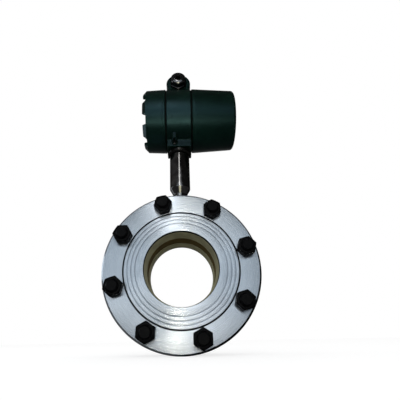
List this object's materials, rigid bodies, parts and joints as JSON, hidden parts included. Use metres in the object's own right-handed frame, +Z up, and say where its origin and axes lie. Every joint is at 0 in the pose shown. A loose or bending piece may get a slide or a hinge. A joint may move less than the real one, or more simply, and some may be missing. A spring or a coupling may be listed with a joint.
{
  "type": "solids flow meter",
  "caption": "Flanged in-line meter for powder in a pipe: grooved flanges on through bolts, a wafer sensor, a stem, and a round transmitter housing with two screwed covers and a cable gland.",
  "frame": {"origin": "centre of the bore, half way between the two flange faces", "axes": "+Y along the pipe from the grooved front face that carries the nuts to the rear face, +Z up the stem to the housing, +X along the housing towards its long cover"},
  "size_m": [0.223, 0.1201, 0.4805],
  "materials": {
    "flange_steel": "turned, with fine concentric tool marks",
    "liner": "matt olive-brown wear lining",
    "sensing_ring": "matt dark ceramic",
    "gasket": "matt",
    "bolting": "black oxide, satin",
    "stem_steel": "dark polished, turned",
    "seal_rubber": "matt",
    "housing_paint": "dark green satin paint on a cast surface",
    "gland_chrome": "dark nickel plated",
    "screw_steel": "plated",
    "board": "matt solder mask",
    "spacer_brass": "plain turned",
    "terminal_plastic": "matt",
    "lead_sheath": "matt"
  },
  "bodies": {
    "meter": {"bolt_1": "bolting", "bolt_2": "bolting", "bolt_3": "bolting", "bolt_4": "bolting", "bolt_5": "bolting", "bolt_6": "bolting", "bolt_7": "bolting", "bolt_8": "bolting", "front_flange": "flange_steel", "front_gasket": "gasket", "front_liner": "liner", "lock_collar": "stem_steel", "nut_1": "bolting", "nut_2": "bolting", "nut_3": "bolting", "nut_4": "bolting", "nut_5": "bolting", "nut_6": "bolting", "nut_7": "bolting", "nut_8": "bolting", "rear_flange": "flange_steel", "rear_gasket": "gasket", "rear_liner": "liner", "sensing_ring": "sensing_ring", "sensor_body": "flange_steel", "stem": "stem_steel", "stem_seal": "seal_rubber"},
    "head": {"amplifier_board": "board", "board_spacer_1": "spacer_brass", "board_spacer_2": "spacer_brass", "board_spacer_3": "spacer_brass", "board_spacer_4": "spacer_brass", "gland_body": "gland_chrome", "gland_seal": "seal_rubber", "ground_screw": "screw_steel", "housing": "housing_paint", "left_cover_seal": "seal_rubber", "right_cover_seal": "seal_rubber", "signal_lead": "lead_sheath", "terminal_block": "terminal_plastic", "terminal_screw_1": "screw_steel", "terminal_screw_2": "screw_steel", "terminal_screw_3": "screw_steel", "terminal_screw_4": "screw_steel"},
    "left_cover": {"left_cover": "housing_paint"},
    "right_cover": {"right_cover": "housing_paint"},
    "gland_nut": {"gland_nut": "gland_chrome"}
  },
  "joints": [
    {"name": "head_swivel", "type": "hinge", "parent": "meter", "child": "head", "pos_m": [0, 0, 0.206], "axis": [0, 0, 1], "range_deg": [-170, 170]},
    {"name": "left_cover_turn", "type": "hinge", "parent": "head", "child": "left_cover", "pos_m": [-0.0426, 0, 0.2817], "axis": [-1, 0, 0], "continuous": true},
    {"name": "right_cover_turn", "type": "hinge", "parent": "head", "child": "right_cover", "pos_m": [0.0603, 0, 0.2817], "axis": [1, 0, 0], "continuous": true},
    {"name": "gland_nut_turn", "type": "hinge", "parent": "head", "child": "gland_nut", "pos_m": [0, -0.042, 0.3467], "axis": [0, -1, 0], "continuous": true}
  ]
}
